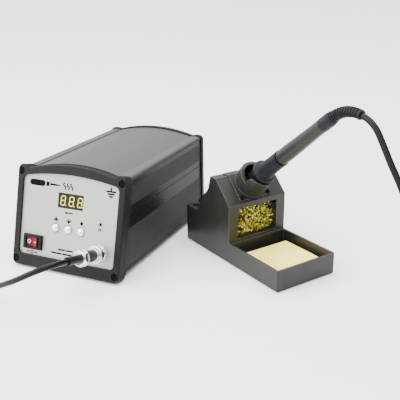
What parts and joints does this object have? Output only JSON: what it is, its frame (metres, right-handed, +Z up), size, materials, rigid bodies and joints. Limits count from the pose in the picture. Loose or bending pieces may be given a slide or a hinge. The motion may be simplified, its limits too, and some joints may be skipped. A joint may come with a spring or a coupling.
{
  "type": "soldering iron station",
  "caption": "Bench soldering station: leaning-front control unit, holder with cup, brass wool and sponge tray, and the iron on its cord.",
  "frame": {"origin": "on the bench, under the middle of the control unit", "axes": "+Z up, -Y where the control unit's front looks, +X towards the iron holder"},
  "size_m": [0.4348, 0.4351, 0.1916],
  "materials": {
    "case_anodised": "satin, grey anodised",
    "bezel_plastic": "fine moulded grain",
    "panel_silver": "satin",
    "button_chrome": "bright plated domes",
    "display_smoke": "smoked, polished",
    "display_block": "matt",
    "circuit_board": "solder mask",
    "switch_black": "fine grain",
    "rocker_red": "polished",
    "contact_metal": "tinned",
    "socket_chrome": "bright",
    "plug_dark": "knurled",
    "boot_rubber": "soft matt",
    "screw_black": "black oxide",
    "screw_bright": "zinc plated",
    "inlet_black": "fine grain",
    "fuse_glass": "clear",
    "board_parts": "sleeve",
    "core_steel": "varnished laminations",
    "coil_copper": "enamelled winding",
    "sink_aluminium": "natural",
    "foot_rubber": "soft matt",
    "holder_paint": "graphite metallic paint",
    "wool_sheet": "bent sheet",
    "brass_wool": "loose metallic wool",
    "sponge_cell": "open cell",
    "tip_plating": "iron plated, tinned",
    "heater_ceramic": "ceramic",
    "shroud_steel": "stainless",
    "nose_plastic": "heat resistant",
    "grip_rubber": "soft, slate",
    "ring_black": "polished",
    "handle_plastic": "satin",
    "relief_rubber": "soft",
    "cord_silicone": "soft sheen"
  },
  "bodies": {
    "station": {"upper_case": "case_anodised", "lower_case": "case_anodised", "front_bezel": "bezel_plastic", "front_panel": "panel_silver", "front_bezel_screws": "screw_black", "key_switches": "switch_black", "display_window": "display_smoke", "display_module": "display_block", "front_card": "circuit_board", "calibration_trimmer": "board_parts", "switch_frame": "switch_black", "switch_terminals": "contact_metal", "panel_socket": "socket_chrome", "socket_nut": "screw_bright", "plug_shell": "plug_dark", "plug_nut": "socket_chrome", "plug_boot": "boot_rubber", "rear_bezel": "bezel_plastic", "rear_panel": "panel_silver", "rear_bezel_screws": "screw_black", "mains_inlet": "inlet_black", "inlet_screws": "screw_bright", "earth_jack": "screw_bright", "main_board": "circuit_board", "board_screws": "screw_bright", "transformer_core": "core_steel", "transformer_coil": "coil_copper", "heat_sink": "sink_aluminium", "capacitors": "board_parts", "unit_feet": "foot_rubber", "foot_screws": "screw_bright", "holder_body": "holder_paint", "iron_cup": "holder_paint", "cup_screws": "screw_black", "wool_box": "wool_sheet", "base_plate": "wool_sheet", "holder_feet": "foot_rubber", "base_screws": "screw_bright", "cord_bench_run": "cord_silicone"},
    "iron": {"iron_tip": "tip_plating", "heater": "heater_ceramic", "tip_shroud": "shroud_steel", "shroud_nut": "shroud_steel", "iron_nose": "nose_plastic", "iron_grip": "grip_rubber", "grip_ring": "ring_black", "handle_body": "handle_plastic", "rear_cap": "nose_plastic", "strain_relief": "relief_rubber", "cord_iron_drop": "cord_silicone"},
    "power_key": {"power_rocker": "rocker_red"},
    "up_key": {"button_up": "button_chrome"},
    "down_key": {"button_down": "button_chrome"},
    "set_key": {"button_set": "button_chrome"},
    "trimmer": {"trimmer_screw": "screw_bright"},
    "coupling_ring": {"plug_ring": "socket_chrome"},
    "fuse_tray": {"fuse_drawer": "inlet_black", "fuse": "fuse_glass"},
    "wool": {"brass_wool": "brass_wool"},
    "tray_sponge": {"sponge": "sponge_cell"}
  },
  "joints": [
    {"name": "iron_lift", "type": "slide", "parent": "station", "child": "iron", "axis": [0.656, -0.4227, 0.6252], "range_m": [0, 0.09]},
    {"name": "power_tilt", "type": "hinge", "parent": "station", "child": "power_key", "pos_m": [-0.0422, -0.10058, 0.02799], "axis": [0, 0.2706, 0.9627], "range_deg": [0, 18]},
    {"name": "up_press", "type": "slide", "parent": "station", "child": "up_key", "axis": [0, 0.9627, -0.2706], "range_m": [0, 0.0008], "stiffness_N_per_m": 1500},
    {"name": "down_press", "type": "slide", "parent": "station", "child": "down_key", "axis": [0, 0.9627, -0.2706], "range_m": [0, 0.0008], "stiffness_N_per_m": 1500},
    {"name": "set_press", "type": "slide", "parent": "station", "child": "set_key", "axis": [0, 0.9627, -0.2706], "range_m": [0, 0.0008], "stiffness_N_per_m": 1500},
    {"name": "trimmer_turn", "type": "hinge", "parent": "station", "child": "trimmer", "pos_m": [0.03965, -0.09007, 0.05651], "axis": [0, 0.9627, -0.2706], "range_deg": [-135, 135]},
    {"name": "coupling_turn", "type": "hinge", "parent": "station", "child": "coupling_ring", "pos_m": [0.0449, -0.1102, 0.03257], "axis": [0, -0.9627, 0.2706], "continuous": true},
    {"name": "fuse_slide", "type": "slide", "parent": "station", "child": "fuse_tray", "axis": [0, 1, 0], "range_m": [0, 0.02]},
    {"name": "wool_slide", "type": "slide", "parent": "station", "child": "wool", "axis": [0.8406, -0.5417, 0], "range_m": [0, 0.013]},
    {"name": "sponge_lift", "type": "slide", "parent": "station", "child": "tray_sponge", "axis": [0, 0, 1], "range_m": [0, 0.04]}
  ]
}
